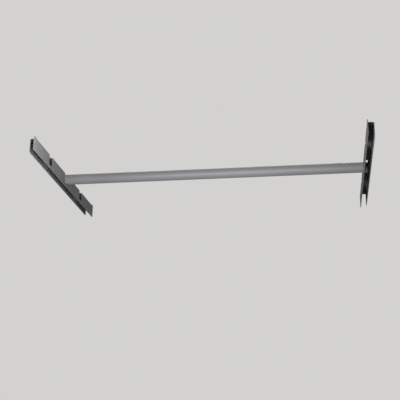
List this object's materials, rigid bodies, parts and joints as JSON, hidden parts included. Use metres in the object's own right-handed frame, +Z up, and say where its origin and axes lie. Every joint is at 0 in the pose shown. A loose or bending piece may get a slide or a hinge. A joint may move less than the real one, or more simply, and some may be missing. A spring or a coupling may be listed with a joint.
{
  "type": "closet rod",
  "caption": "Closet rod: a round steel tube dropped into U-slots of folded steel channels that lie along the side walls of a wardrobe; the rod lifts out upwards",
  "frame": {"origin": "under the middle of the rod, half way between the side walls, level with the lower edges of both brackets", "axes": "+X along the rod to the right wall, +Y towards the back of the wardrobe, +Z up"},
  "size_m": [0.75, 0.472, 0.0325],
  "materials": {
    "bracket_coat": "satin graphite powder coat",
    "rod_coat": "satin grey powder coat",
    "plug_plastic": "moulded dark grey"
  },
  "bodies": {
    "brackets": {"left_bracket": "bracket_coat", "right_bracket": "bracket_coat"},
    "rod": {"rod_tube": "rod_coat", "left_end_plug": "plug_plastic", "right_end_plug": "plug_plastic"}
  },
  "joints": [
    {"name": "rod_lift", "type": "slide", "parent": "brackets", "child": "rod", "axis": [0, 0, 1], "range_m": [0, 0.04]}
  ]
}
